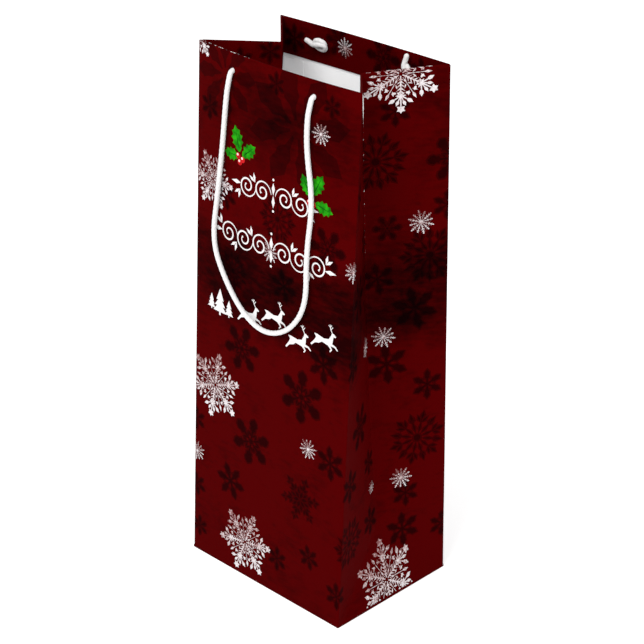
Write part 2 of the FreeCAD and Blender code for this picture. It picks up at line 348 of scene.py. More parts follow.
def grid_faces(rows, columns):
    """Triangles over a grid of rows by columns of cells, its points being in row order."""
    low = (np.arange(rows)[:, None] * (columns + 1) + np.arange(columns)).ravel()
    high = low + columns + 1
    return np.column_stack([low, low + 1, high + 1, low, high + 1, high]).reshape(-1, 3)


# ---- ropes

ROPE = 3.0
STRANDS = 3
TWIST_PITCH = 9.0
STRAND_DEPTH = 0.08          # of the rope's radius
ROPE_SIDES = 24
RING_STEP = 0.7
CAP_PAINTED_SHADE = 0.3             # how much painted shade darkens the middle of each end

# The handles' routes, hole to hole, in metres, as in the design, with two more points in each
# hole so that the rope comes out of the paper and turns down.
FRONT_ROUTE = [
    (-0.0315, -0.0345, 0.3200), (-0.0315, -0.0385, 0.3202),
    (-0.0315, -0.0400, 0.3165), (-0.0340, -0.0403, 0.3050), (-0.0370, -0.0407, 0.2770),
    (-0.0410, -0.0414, 0.2470), (-0.0460, -0.0422, 0.2150), (-0.0348, -0.0433, 0.1945),
    (-0.0185, -0.0443, 0.1775), (0.0006, -0.0448, 0.1710), (0.0198, -0.0443, 0.1795),
    (0.0323, -0.0434, 0.1990), (0.0312, -0.0426, 0.2290), (0.0352, -0.0415, 0.2610),
    (0.0298, -0.0410, 0.2900), (0.0298, -0.0405, 0.3080), (0.0315, -0.0400, 0.3165),
    (0.0315, -0.0385, 0.3202), (0.0315, -0.0345, 0.3200),
]
BACK_ROUTE = [
    (-0.0315, 0.0330, 0.3200), (-0.0315, 0.0385, 0.3202),
    (-0.0315, 0.0400, 0.3165), (-0.0340, 0.0402, 0.3040), (-0.0360, 0.0404, 0.2770),
    (-0.0400, 0.0412, 0.2480), (-0.0430, 0.0423, 0.2180), (-0.0360, 0.0434, 0.1940),
    (-0.0200, 0.0442, 0.1770), (0.0000, 0.0445, 0.1710), (0.0210, 0.0442, 0.1780),
    (0.0360, 0.0433, 0.1950), (0.0420, 0.0422, 0.2210), (0.0390, 0.0412, 0.2500),
    (0.0360, 0.0405, 0.2780), (0.0335, 0.0402, 0.3050), (0.0315, 0.0400, 0.3165),
    (0.0315, 0.0385, 0.3202), (0.0315, 0.0330, 0.3200),
]


def nurbs_line(points):
    """Points read from the smooth NURBS line that these control points make."""
    curve = bpy.data.curves.new("line", "CURVE")
    curve.dimensions = "3D"
    curve.resolution_u = 24
    spline = curve.splines.new("NURBS")
    spline.points.add(len(points) - 1)
    for control, p in zip(spline.points, points):
        control.co = (*p, 1.0)
    spline.order_u = 3
    spline.use_endpoint_u = True
    holder = bpy.data.objects.new("line", curve)
    mesh = bpy.data.meshes.new_from_object(holder)
    line = np.array([v.co for v in mesh.vertices], float)
    bpy.data.objects.remove(holder)
    bpy.data.curves.remove(curve)
    bpy.data.meshes.remove(mesh)
    return line


def evenly(line, step):
    """The same line with its points a step apart."""
    gaps = np.linalg.norm(np.diff(line, axis=0), axis=1)
    along = np.concatenate([[0.0], np.cumsum(gaps)])
    stations = np.linspace(0.0, along[-1], max(4, int(round(along[-1] / step)) + 1))
    return np.column_stack([np.interp(stations, along, line[:, k]) for k in range(3)]), stations


def carried_frames(line):
    """Two directions across the line at each of its points, carried along without twisting."""
    tangents = np.gradient(line, axis=0)
    tangents /= np.linalg.norm(tangents, axis=1)[:, None]
    across = np.cross(tangents[0], (1.0, 0.0, 0.0))
    across /= np.linalg.norm(across)
    firsts = []
    for tangent in tangents:
        across = across - tangent * np.dot(across, tangent)
        across /= np.linalg.norm(across)
        firsts.append(across.copy())
    firsts = np.array(firsts)
    return firsts, np.cross(tangents, firsts)


def rope_mesh(name, line):
    """A twisted rope, in millimetres, along a line, with rounded ends."""
    line, stations = evenly(line, RING_STEP)
    first, second = carried_frames(line)
    angles = np.arange(ROPE_SIDES) * TAU / ROPE_SIDES
    lobes = np.abs(np.cos(STRANDS / 2 * (angles[None, :] - TAU * stations[:, None] / TWIST_PITCH)))
    # the depth of the grooves between strands, which shapes the rope and also sets the painted shade in its
    # colour
    groove_and_shade = (1 - lobes) ** 1.5
    to_end = np.minimum(stations, stations[-1] - stations) / (ROPE / 2)
    rounding = np.sqrt(np.clip(1 - (1 - np.clip(to_end, 0, 1)) ** 2, 0.12, 1))
    radius = ROPE / 2 * (1 - STRAND_DEPTH * groove_and_shade) * rounding[:, None]
    rings = line[:, None, :] + radius[..., None] * (np.cos(angles)[None, :, None] * first[:, None, :]
                                                    + np.sin(angles)[None, :, None] * second[:, None, :])
    points = [*rings.reshape(-1, 3), line[0], line[-1]]
    count, last = ROPE_SIDES, len(line) - 1
    faces = []
    for ring in range(last):
        for side in range(count):
            a, b = ring * count + side, ring * count + (side + 1) % count
            faces.append((a, b, b + count, a + count))
    start_cap, end_cap = len(points) - 2, len(points) - 1
    for side in range(count):
        faces.append(((side + 1) % count, side, start_cap))
        faces.append((last * count + side, last * count + (side + 1) % count, end_cap))
    piece = link_mesh(name, np.array(points), faces, cord_material)
    give_attribute(piece, "groove_and_shade", [*groove_and_shade.ravel(), CAP_PAINTED_SHADE, CAP_PAINTED_SHADE])
    return piece


# An overhand knot pulled tight: across, inwards from the hem, and up, from its hole.
KNOT = [
    (0, -2, 0), (0, 1.8, 0), (2.9, 2.6, 0.6), (2.2, 4.0, 2.9), (-2.0, 4.4, 2.9), (-3.8, 3.6, -0.4),
    (-1.5, 2.0, -2.9), (2.6, 2.0, -2.4), (3.4, 3.7, 1.2), (0.2, 5.4, 1.0), (-3.3, 4.8, -0.9),
    (-6.8, 3.3, -0.8), (-10.5, 2.6, -0.6),
]
KNOTS = {
    # name: (which hole, face, mirrored, turned by, shifted across, spread, tail share)
    "back_left_knot": (-1, 1, 1, -6.0, 1.9, 1.22, 1.0),
    "back_right_knot": (1, 1, 1, -92.0, 5.5, 1.0, 0.94),
    "front_left_knot": (-1, -1, 1, 18.0, 0.0, 1.0, 1.0),
    "front_right_knot": (1, -1, -1, -16.0, 0.0, 1.0, 1.0),
}


# ---- the folded sheet

# Round the sheet: front left corner, front right, right crease, back right, back left, left crease, and
# the front left corner again.
CORNERS = np.cumsum([0, WIDTH, DEPTH / 2, DEPTH / 2, WIDTH, DEPTH / 2, DEPTH / 2])


def half_depth(z):
    return DEPTH / 2 - LEAN * z / HEIGHT


def tuck(z):
    """How far a gusset's middle is pushed in: its paper keeps its width as the panels lean in."""
    return np.sqrt(np.maximum((DEPTH / 2) ** 2 - half_depth(z) ** 2, 1e-9))


def outline_at(z, inset):
    """The seven corners of the bag's outline at height z, moved inwards by inset."""
    reach, push = half_depth(z), tuck(z)
    slant = np.sqrt(reach ** 2 + push ** 2)
    corner_x = WIDTH / 2 - inset * (push + slant) / reach
    corner_y = reach - inset
    crease_x = WIDTH / 2 - push - inset * slant / reach
    back_x = corner_x + BACK_FLARE * np.clip(z / HEIGHT, 0, 1)
    middle = np.zeros_like(z)
    corners = ((-corner_x, -corner_y), (corner_x, -corner_y), (crease_x, middle), (back_x, corner_y),
               (-back_x, corner_y), (-crease_x, middle), (-corner_x, -corner_y))
    return np.stack([np.stack(corner, -1) for corner in corners], -2)


def sharp_wall(s, z, inset):
    """Where the sheet's point s round and z up stands, with sharp creases."""
    s = np.mod(s, GIRTH)
    span = np.clip(np.searchsorted(CORNERS, s, side="right") - 1, 0, 5)
    share = (s - CORNERS[span]) / np.diff(CORNERS)[span]
    corners = outline_at(z, inset)
    rows = np.arange(len(s))
    xy = corners[rows, span] * (1 - share)[:, None] + corners[rows, span + 1] * share[:, None]
    arch = 1 - (2 * share - 1) ** 2
    height = np.clip(z / HEIGHT, 0, 1)
    xy[:, 1] -= np.where(span == 0, FRONT_BOW * arch * height ** 1.5, 0)
    xy[:, 1] += np.where(span == 3, BACK_BOW * arch * height ** 1.5, 0)
    side = np.where((span == 1) | (span == 2), 1.0, -1.0)
    in_gusset = (span != 0) & (span != 3)
    low = np.minimum(z / (1.6 * FOOT_RISE), 1)
    xy[:, 0] += np.where(in_gusset, side * GUSSET_BOW * arch * low * np.sin(math.pi * height), 0)
    to_crease = np.where((span == 1) | (span == 4), share, 1 - share)
    open_mouth = np.where(in_gusset, to_crease * height ** 2, 0)
    xy[:, 0] += side * GUSSET_SLACK * open_mouth
    at_corner = np.where(span == 0, share ** 2, np.where(span == 1, 1 - share, 0)) * height ** 2
    sunk = np.where(side > 0, RIGHT_DIP, LEFT_DIP) * open_mouth + CORNER_DIP * at_corner
    points = np.column_stack([xy, z - sunk])
    return fold_feet(points, s, span, z, inset)


def fold_feet(points, s, span, z, inset):
    """Each gusset ends in a triangle between the base edge and its crease, creased along the diagonals."""
    for side, crease in ((1, CORNERS[2]), (-1, CORNERS[5])):
        away = s - crease
        here = (np.abs(away) <= DEPTH / 2) & (z < FOOT_RISE) & (span != 0) & (span != 3)
        diagonal = DEPTH / 2 * (1 - z / FOOT_RISE)
        depth_in = tuck(np.full_like(z, FOOT_RISE)) * z / FOOT_RISE
        # s runs from front to back at the right crease, and from back to front at the left one
        forward = away * side
        inner = here & (np.abs(away) < diagonal)
        slope_in = inset * 1.04
        points[inner, 0] = side * (WIDTH / 2 - depth_in - slope_in)[inner]
        points[inner, 1] = forward[inner]
        outer = here & ~inner
        reach = half_depth(z)
        share = (DEPTH / 2 - np.abs(away)) / np.maximum(DEPTH / 2 - diagonal, 1e-6)
        corner_x, corner_y = WIDTH / 2 - inset * 2.0, reach - inset
        edge_x, edge_y = WIDTH / 2 - depth_in - slope_in, diagonal
        x = corner_x * (1 - share) + edge_x * share
        y = corner_y * (1 - share) + edge_y * share
        points[outer, 0] = side * x[outer]
        points[outer, 1] = np.sign(forward[outer]) * y[outer]
    return points


def wall(s, z, inset=0.0):
    """The same with each upright crease rounded."""
    s, z = np.asarray(s, float), np.asarray(z, float)
    inset = np.broadcast_to(np.asarray(inset, float), s.shape)
    points = sharp_wall(s, z, inset)
    for crease in CORNERS:
        near = np.abs(s - crease) < CREASE_RADIUS
        if not near.any():
            continue
        share = ((s[near] - crease + CREASE_RADIUS) / (2 * CREASE_RADIUS))[:, None]
        start, corner, end = (sharp_wall(np.full(near.sum(), place), z[near], inset[near])
                              for place in (crease - CREASE_RADIUS, crease, crease + CREASE_RADIUS))
        points[near] = (1 - share) ** 2 * start + 2 * share * (1 - share) * corner + share ** 2 * end
    return points


ARC = math.pi * FOLD_RADIUS
RIM = HEIGHT - FOLD_RADIUS   # where the rim's fold starts, up the sheet
SHEET_TOP = RIM + ARC + HEM_DEPTH - FOLD_RADIUS
SHEET_FOOT = 1.8             # where the base flaps take over, up the sheet


def folded(s, v):
    """The flat sheet's point (s round, v up) on the bag: up the wall, over the rim, down the hem."""
    past = np.clip(v - RIM, 0, ARC)
    angle = past / FOLD_RADIUS
    down = np.clip(v - RIM - ARC, 0, None)
    z = np.where(v <= RIM, v, RIM + FOLD_RADIUS * np.sin(angle) - down)
    inset = np.where(v <= RIM, 0.0, FOLD_RADIUS * (1 - np.cos(angle)))
    points = wall(s, z, inset)
    gap = np.abs(np.mod(s, GIRTH)[:, None] - CORNERS[None, :]).min(1)
    calm = np.clip(gap / 18.0, 0, 1) * np.clip(z / 30.0, 0, 1) * np.clip((HEIGHT - z) / 60.0, 0, 1)
    wave = np.sin(s / 17.0 + 1.3 * np.sin(z / 41.0)) * np.sin(z / 29.0 + 0.7 * np.sin(s / 23.0))
    points[:, 1] += BUCKLE * calm * wave * np.where(points[:, 1] < 0, -1, 1)
    return points


# ---- the print: shapes on the flat sheet

def turned(points, angle, centre=(0.0, 0.0), size=1.0):
    c, s = math.cos(angle), math.sin(angle)
    x, y = (np.asarray(points, float) * size).T
    return np.column_stack([x * c - y * s, x * s + y * c]) + np.asarray(centre, float)


def kite(base, middle, tip, width):
    """A petal along +X: narrow at base, widest at middle, pointed at tip."""
    return [(base, 0), (middle, width / 2), (tip, 0), (middle, -width / 2)]


def bar(start, end, width):
    (x0, y0), (x1, y1) = start, end
    length = math.hypot(x1 - x0, y1 - y0)
    nx, ny = -(y1 - y0) / length * width / 2, (x1 - x0) / length * width / 2
    return [(x0 + nx, y0 + ny), (x0 - nx, y0 - ny), (x1 - nx, y1 - ny), (x1 + nx, y1 + ny)]


def disc(radius, sides=10, centre=(0.0, 0.0)):
    return [(centre[0] + radius * math.cos(TAU * k / sides), centre[1] + radius * math.sin(TAU * k / sides))
            for k in range(sides)]


def petals(at, angles, base, middle, tip, width):
    """Kites fanned out from a point on the arm."""
    return [turned(kite(base, middle, tip, width), math.radians(a), at) for a in angles]


def barbs(at, angles, length, width):
    """Narrow triangles that point away from a point on the arm."""
    spike = [(0, width / 2), (length, 0), (0, -width / 2)]
    return [turned(spike, math.radians(a), at) for a in angles]


def ringed(arm, arms, start=0.0):
    """The same arm all the way round."""
    return [turned(shape, start + TAU * k / arms) for k in range(arms) for shape in arm]


def mirrored(upper):
    """A closed outline along +X from its upper half, tail to tip."""
    return upper + [(x, -y) for x, y in reversed(upper) if y > 0]


def frost_flake():
    """Ornate white flake, radius 1: ferns by the middle, long leaves from a burst, a star at each end."""
    arm = [bar((0.05, 0), (0.90, 0), 0.030)]
    for x, length in ((0.12, 0.09), (0.19, 0.12), (0.27, 0.15), (0.36, 0.14), (0.44, 0.10)):
        arm += barbs((x, 0), (54, -54), length, 0.042)
    arm += petals((0.55, 0), (90, -90, 135, -135), 0.0, 0.07, 0.13, 0.05)
    long_leaf = mirrored([(0.17, 0.010), (0.21, 0.042), (0.27, 0.048), (0.29, 0.032), (0.35, 0)])
    for way in (1, -1):
        for lean, size in ((58, 1.0), (24, 0.82)):
            arm += [turned(bar((0.0, 0), (0.17 * size, 0), 0.030), way * math.radians(lean), (0.55, 0)),
                    turned(long_leaf, way * math.radians(lean), (0.55, 0), size)]
        arm += [turned(long_leaf, way * math.radians(82), (0.46, 0), 0.66)]
    arm += petals((0.89, 0), (0, 60, -60, 125, -125), 0.0, 0.06, 0.115, 0.075)
    between = [bar((0.10, 0), (0.58, 0), 0.014), kite(0.14, 0.20, 0.28, 0.05)]
    between.append(kite(0.54, 0.63, 0.74, 0.075))
    between += petals((0.26, 0), (46, -46), 0.03, 0.09, 0.16, 0.04)
    between += petals((0.42, 0), (40, -40), 0.06, 0.13, 0.20, 0.05)
    return ringed(arm, 6) + ringed(between, 6, TAU / 12)


def small_flake():
    """Fine round white flake, radius 1: twelve thin rays with pairs of barbs, the ends beaded."""
    long_ray = [bar((0.0, 0), (0.90, 0), 0.05), disc(0.055, 6, (0.93, 0))]
    for x, length in ((0.34, 0.17), (0.54, 0.22), (0.74, 0.16)):
        long_ray += barbs((x, 0), (50, -50), length, 0.065)
    short_ray = [bar((0.0, 0), (0.74, 0), 0.042), disc(0.06, 6, (0.80, 0))]
    short_ray += barbs((0.46, 0), (50, -50), 0.17, 0.055) + barbs((0.66, 0), (55, -55), 0.15, 0.055)
    return ringed(long_ray, 6) + ringed(short_ray, 6, TAU / 12)


def leafy_flake():
    """Dark flake of six stalks with lobed leaves."""
    leaf = mirrored([(0.12, 0.03), (0.42, 0.05), (0.50, 0.17), (0.62, 0.15), (0.72, 0.22), (0.88, 0.17),
                     (1.0, 0)])
    return ringed([leaf] + petals((0.20, 0), (48, -48), 0.0, 0.16, 0.30, 0.13), 6) + [disc(0.14, 6)]


def rosette_flake():
    """Dark flake of twelve spokes: leaves and spears in turn, round a beaded middle."""
    leaf_arm = [kite(0.18, 0.36, 0.60, 0.10), kite(0.66, 0.84, 1.0, 0.16), bar((0.55, 0), (0.75, 0), 0.03)]
    leaf_arm += petals((0.54, 0), (36, -36), 0.02, 0.18, 0.34, 0.13)
    spear = [kite(0.20, 0.40, 0.64, 0.11), kite(0.60, 0.76, 0.95, 0.15)]
    spear += petals((0.54, 0), (24, -24), 0.0, 0.14, 0.25, 0.08)
    return ringed(leaf_arm + [turned(shape, TAU / 12) for shape in spear], 6) + [disc(0.15, 8)]


def petal_flake():
    """Dark flake of six lobed petals."""
    petal = mirrored([(0.08, 0.04), (0.32, 0.07), (0.44, 0.20), (0.58, 0.16), (0.74, 0.20), (1.0, 0)])
    return ringed([petal], 6, TAU / 12) + [disc(0.16, 6)]


def lattice_flake():
    """Dark six-pointed star built up of small diamonds."""
    arm = [kite(0.04, 0.20, 0.37, 0.20), kite(0.39, 0.56, 0.73, 0.20), kite(0.74, 0.86, 1.0, 0.13)]
    arm += petals((0.38, 0), (46, -46), 0.02, 0.15, 0.29, 0.14)
    arm += petals((0.72, 0), (66, -66), 0.03, 0.11, 0.21, 0.10)
    return ringed(arm + [turned(kite(0.18, 0.34, 0.50, 0.15), TAU / 12)], 6)


def broad_flake():
    """A very large, faint flake of broad leaves, only half printed into the ground."""
    leaf = mirrored([(0.14, 0.02), (0.36, 0.06), (0.48, 0.15), (0.60, 0.14), (0.76, 0.18), (1.0, 0)])
    return ringed([leaf], 8)


def stroke(path, width, ends=0.35):
    """A pen stroke along a path, thinner towards its ends."""
    path = np.asarray(path, float)
    tangent = np.gradient(path, axis=0)
    tangent /= np.linalg.norm(tangent, axis=1)[:, None]
    side = np.column_stack([-tangent[:, 1], tangent[:, 0]])
    share = np.linspace(0, 1, len(path))
    half = width / 2 * (ends + (1 - ends) * np.sin(math.pi * share) ** 0.5)
    return np.vstack([path + side * half[:, None], (path - side * half[:, None])[::-1]])


def spiral(middle, radius, way, turns=1.6, width=1.05, count=36):
    """A stroke from the left of a circle that runs over it (way 1) or under it and winds in to a bead."""
    share = np.linspace(0, 1, count)
    angle = math.pi - TAU * turns * share
    reach = radius * (1 - 0.80 * share ** 0.85)
    path = np.column_stack([middle + reach * np.cos(angle), way * reach * np.sin(angle)])
    return [stroke(path, width), disc(0.60 * width, 8, path[-1])]


def running_scroll(count, radius):
    """A row of spirals over and under one line, mirrored about its middle, with leaves where they part."""
    half = []
    gap = 1.72 * radius
    for k in range(count):
        way = 1 if k % 2 == 0 else -1
        middle = 0.22 * radius + radius + k * gap
        half += spiral(middle, radius, way)
        leaf_root = (middle + 0.82 * radius, way * 0.50 * radius)
        half += petals(leaf_root, (way * 78, way * 34), 0.0, 0.42 * radius, 0.80 * radius, 0.26 * radius)
    end = 0.22 * radius + 2 * radius + (count - 1) * gap
    half += [turned(kite(-0.1, 0.5 * radius, 1.1 * radius, 0.36 * radius), 0, (end - 0.25 * radius, 0))]
    heart = petals((0, 0), (90, -90), 0.0, 0.55 * radius, 1.05 * radius, 0.34 * radius)
    beads = [disc(0.11 * radius, 8, (0, 1.30 * radius)), disc(0.11 * radius, 8, (0, -1.30 * radius))]
    other_half = [np.asarray(shape) * (-1, 1) for shape in half]
    return half + other_half + heart + beads


DEER = [
    (-0.38, 0.03), (-0.47, 0.13), (-0.34, 0.14), (-0.05, 0.09), (0.15, 0.14), (0.24, 0.30), (0.27, 0.40),
    (0.35, 0.39), (0.45, 0.32), (0.42, 0.28), (0.34, 0.28), (0.33, 0.13), (0.31, 0.02), (0.46, -0.02),
    (0.57, -0.13), (0.53, -0.15), (0.42, -0.07), (0.25, -0.07), (0.33, -0.19), (0.25, -0.29), (0.22, -0.26),
    (0.27, -0.19), (0.14, -0.09), (-0.12, -0.05), (-0.24, -0.14), (-0.41, -0.19), (-0.55, -0.33),
    (-0.60, -0.30), (-0.46, -0.12), (-0.41, -0.04),
]


def deer():
    """A plain leaping deer, one unit long."""
    antlers = [bar((0.28, 0.39), (0.19, 0.53), 0.030), bar((0.19, 0.52), (0.16, 0.66), 0.026),
               bar((0.21, 0.50), (0.29, 0.60), 0.026), bar((0.17, 0.58), (0.10, 0.62), 0.022),
               bar((0.18, 0.54), (0.23, 0.66), 0.022)]
    return [np.array(DEER)] + antlers


def fir():
    """A plain fir tree, one unit tall."""
    tiers = []
    for half, foot, rise in ((0.34, 0.12, 0.40), (0.27, 0.34, 0.36), (0.19, 0.56, 0.44)):
        tiers.append([(-half, foot), (0, foot + rise), (half, foot)])
    return tiers + [bar((0, 0), (0, 0.14), 0.08)]


def holly_leaf():
    """A holly leaf along +X, one unit long, with spined edges."""
    return mirrored([(0.0, 0.02), (0.14, 0.17), (0.22, 0.15), (0.34, 0.30), (0.44, 0.22), (0.58, 0.32),
                     (0.66, 0.19), (0.80, 0.22), (0.85, 0.10), (1.0, 0.0)])


# Landmarks on the flat sheet: s round from the front left corner. Heights v are up from the base.
FRONT_MIDDLE = WIDTH / 2
RIGHT_FRONT = CORNERS[1]
RIGHT_REAR = CORNERS[3]
BACK_MIDDLE = CORNERS[3] + WIDTH / 2
LEFT_REAR = CORNERS[4]
ON_HEM = 2 * RIM + ARC       # a place on the hem has this, less the height that it ends at, as its v
DARK_SPREAD = 0.80           # half-tone round a dark flake's outlines


def stamped(ink, motif, s, v, size, angle=0.0):
    """A motif's shapes laid on the sheet in an ink, as (ink, outline), turned by angle in degrees."""
    return [(ink, turned(outline, math.radians(angle), (s, v), size)) for outline in motif]


def from_landmarks(groups):
    """Rows that start with their distance from a landmark, given their own place on the sheet."""
    return [(landmark + s, *rest) for landmark, rows in groups for s, *rest in rows]


def dark_flakes():
    """The flakes printed dark on the ground, paler ones in a loose pattern on the unseen faces, and two
    very large pale ones by the front's top."""
    leafy, rosette, petal = leafy_flake(), rosette_flake(), petal_flake()
    lattice, broad = lattice_flake(), broad_flake()
    # Each row is a flake's place, its radius, how far it is turned in degrees, and its motif.
    darks = from_landmarks([
        (FRONT_MIDDLE, [(28, 140, 17, 28, leafy), (-13, 95, 16, 20, leafy), (51.8, 106, 11, 6, petal),
            (-30.5, 61, 12, 22, petal), (29, 73, 16, 12, lattice), (11, 24.5, 8, 0, petal),
            (37.5, 37, 8, 14, petal), (61, 21, 9, 5, petal), (-22, 153, 15, 10, leafy),
            (6, 243, 14, 0, rosette), (44, 236, 13, 0, leafy), (-37, 245, 9, 12, petal),
            (44, 166, 12, 5, petal), (-62, 92, 8, 0, petal), (-61, 47, 8, 10, petal),
            (-58, 18, 7, 0, petal), (-52, 294, 8, 0, petal), (44, 318, 6, 0, petal),
            (4, 321, 7, 0, petal), (-30, 200, 12, 8, rosette), (12, 204, 10, 14, petal)]),
        (RIGHT_FRONT, [(10, 53, 16, 0, rosette), (25, 122, 14, 0, leafy), (9, 91, 11, 0, petal),
            (40, 91, 8, 0, petal), (38, 53, 9, 0, petal), (20, 205, 14, 0, leafy), (8, 168, 10, 0, petal),
            (40, 232, 9, 0, petal), (12, 268, 10, 8, petal)]),
        (RIGHT_REAR, [(-41, 277, 18, 10, rosette), (1, 275, 14, 0, leafy), (-11, 217, 18, 0, rosette),
            (-1, 247, 9, 0, petal), (-20, 184, 14, 12, petal), (-37, 150, 13, 4, petal),
            (-12.5, 133, 10, 0, petal), (-19, 98, 18, 15, rosette), (-27.5, 62, 9, 0, petal),
            (-30, 37, 12, 4, petal), (-2, 33, 9, 0, petal), (-41, 205, 10, 8, petal),
            (-30, 306, 9, 0, petal), (-35, 236, 8, 0, leafy)]),
        (BACK_MIDDLE, [(19, ON_HEM - 324, 10, 0, leafy), (-16, ON_HEM - 322, 13, 0, leafy),
            (54, ON_HEM - 318, 9, 0, petal), (-46, ON_HEM - 320, 9, 10, petal)]),
        (GIRTH, [(-22, ON_HEM - 318, 8, 0, petal), (-40, ON_HEM - 324, 7, 0, petal)]),
    ])
    shapes = []
    for s, v, size, angle, motif in darks:
        for _, laid in stamped("dark", motif, s, v, size, angle):
            shapes.append(("dark_edge", swollen(laid, DARK_SPREAD)))
            shapes.append(("dark", swollen(laid, -DARK_SPREAD / 2)))
    for column in range(3):
        for row, v in enumerate(range(22, 330, 52)):
            pick = (row * 3 + column) % 5
            motif = (petal, leafy, petal, lattice, rosette)[pick]
            size = (9, 14, 11, 13, 16)[pick]
            lean = 9 * ((row * 5 + column * 3) % 4)
            back_s = BACK_MIDDLE - 42 + column * 42 + 14 * (row % 2)
            left_s = LEFT_REAR + 12 + column * 34 + 9 * (row % 2)
            shapes += stamped("dark_edge", motif, back_s, v + 12 * (column % 2), size, lean)
            shapes += stamped("dark_edge", motif, left_s, v + 16 - 10 * (column % 2), size, lean)
    shapes += stamped("dark_edge", broad, FRONT_MIDDLE + 20, 299, 38, 14)
    return shapes + stamped("dark_edge", broad, FRONT_MIDDLE - 38, 316, 26, 4)


def white_flakes():
    """The white flakes' shapes, and each flake's place and radius."""
    frost, small = frost_flake(), small_flake()
    # Each row is a flake's place, its radius and, for the ornate ones, how far it is turned in degrees.
    frosts = from_landmarks([
        (FRONT_MIDDLE, [(-48.7, 251, 18, -2), (-45.4, 120.5, 22.5, 20), (-17, 23.8, 22.5, 10)]),
        (RIGHT_REAR, [(-49, 11.5, 26, 30), (-27, 327.5, 23, 30)]),
        (BACK_MIDDLE, [(-36, 246, 22, 8), (40, 118, 24, 0), (-14, 40, 23, 15), (30, 298, 20, 0)]),
        (LEFT_REAR, [(30, 214, 22, 5), (62, 82, 24, 12), (54, 292, 20, 0)]),
    ])
    smalls = from_landmarks([
        (FRONT_MIDDLE, [(37, 301, 6.6), (0.6, 221.4, 6.6), (34.2, 108.6, 6.8), (-61, 70, 6.8),
            (63, 228, 6.6)]),
        (RIGHT_FRONT, [(40.7, 165.3, 6.6)]),
        (RIGHT_REAR, [(-16.0, 238.0, 7.8), (-38.4, 167.7, 7.2), (-30.2, 73, 7.4), (-52.5, 73, 4.2)]),
        (BACK_MIDDLE, [(6, 290, 6.6), (-50, 160, 6.6), (12, 176, 6.2), (52, 222, 6.6), (-44, 88, 6.8),
            (22, 66, 6.4)]),
        (LEFT_REAR, [(12, 266, 6.4), (78, 168, 6.6), (22, 136, 6.6), (50, 28, 6.8), (88, 244, 6.2),
            (8, 48, 6.4)]),
        (BACK_MIDDLE, [(13.9, ON_HEM - 320.9, 6.4)]),
    ])
    shapes = []
    for s, v, size, angle in frosts:
        shapes += stamped("frost", frost, s, v, size, angle)
    for number, (s, v, size) in enumerate(smalls):
        shapes += stamped("frost", small, s, v, size, 7 * number)
    # One more lies over the front left corner, at both ends of the sheet, and is cut off at the rim.
    for s, v, size, angle in ((0.5, 334, 15, 8), (GIRTH + 0.5, 334, 15, 8)):
        for ink, outline in stamped("frost", frost, s, v, size, angle):
            laid = clip_to_sheet(outline, 0.0, RIM)
            if len(laid) > 2:
                shapes.append((ink, laid))
        frosts.append((s, v, size, angle))
    return shapes, [flake[:3] for flake in frosts] + smalls


def front_picture():
    """The front's scrollwork, leaping deer, fir trees and holly, placed from its middle."""
    shapes = stamped("white", running_scroll(2, 7.2), FRONT_MIDDLE + 2.5, 256, 1.0)
    shapes += stamped("white", running_scroll(3, 7.6), FRONT_MIDDLE + 1.5, 223, 1.0)
    for s, v, angle in ((-15.5, 176.5, 0), (5.0, 182, -4), (24.5, 173.5, 2), (44.5, 181, -3)):
        shapes += stamped("white", deer(), FRONT_MIDDLE + s, v, 17.5, angle)
    for s, v, size in ((-41.5, 168, 17.0), (-33.5, 169, 11.0), (-49.0, 170, 10.0)):
        shapes += stamped("white", fir(), FRONT_MIDDLE + s, v, size)
    for s, v, angle, size in ((-25.5, 274, 105, 15.5), (-26, 271, 178, 12.5), (-23, 272, 38, 14.0),
                              (30, 263.5, 116, 13.0), (32.5, 265, 62, 14.5), (34, 260.5, -12, 13.5)):
        shapes += stamped("green", [holly_leaf()], FRONT_MIDDLE + s, v, size, angle)
        shapes += stamped("leaf_rib", [kite(0.04, 0.3, 0.9, 0.05)], FRONT_MIDDLE + s, v, size, angle)
    for s, v in ((-26.5, 271.5), (-22.8, 270), (-25.2, 268), (31.5, 262.5), (32.8, 259.3), (29.8, 259.8)):
        shapes += stamped("berry", [disc(1.9, 12)], FRONT_MIDDLE + s, v, 1.0)
        shapes += stamped("glint", [disc(0.8, 8)], FRONT_MIDDLE + s - 0.5, v + 0.7, 1.0)
    return shapes


def swollen(outline, by):
    """An outline with every point moved away from its middle."""
    outward = outline - outline.mean(axis=0)
    return outline + outward * (by / np.linalg.norm(outward, axis=1))[:, None]


def frost_strength(flat, flakes):
    """How white the white flakes' ink is at each point: each flake fades towards its upper left."""
    strength = np.full(len(flat), 0.5)
    for s, v, radius in flakes:
        away = flat - (s, v)
        near = np.linalg.norm(away, axis=1) < 1.05 * radius
        lean = (0.35 * away[near, 0] - 0.95 * away[near, 1]) / radius
        strength[near] = 0.52 + 0.42 * lean
    return strength


def inside(points, outline):
    """Which points lie in an outline, by crossings."""
    hit = np.zeros(len(points), bool)
    x, y = points[:, 0], points[:, 1]
    for (x0, y0), (x1, y1) in zip(outline, np.roll(outline, -1, axis=0)):
        if y0 == y1:
            continue
        crosses = (y0 > y) != (y1 > y)
        hit ^= crosses & (x < (x1 - x0) * (y - y0) / (y1 - y0) + x0)
    return hit


# ---- cutting and folding the sheet

def sheet_lines():
    """Columns and rows of points over the flat sheet, and the creases as chains of them."""
    columns = []
    for start, end in zip(CORNERS[:-1], CORNERS[1:]):
        count = int(round((end - start - 2 * CREASE_RADIUS) / 6.0))
        columns += list(np.linspace(start + CREASE_RADIUS, end - CREASE_RADIUS, count + 1))
        columns += [start, start + CREASE_RADIUS / 2, end - CREASE_RADIUS / 2]
    columns = sorted(set(np.round(columns + [GIRTH], 6)))
    rows = list(np.linspace(SHEET_FOOT, RIM - 2.0, 56)) + [RIM - 1.0]
    rows += list(np.linspace(RIM, RIM + ARC, 7)) + list(np.linspace(RIM + ARC, SHEET_TOP, 5)[1:])
    return columns, sorted(set(np.round(rows, 6)))


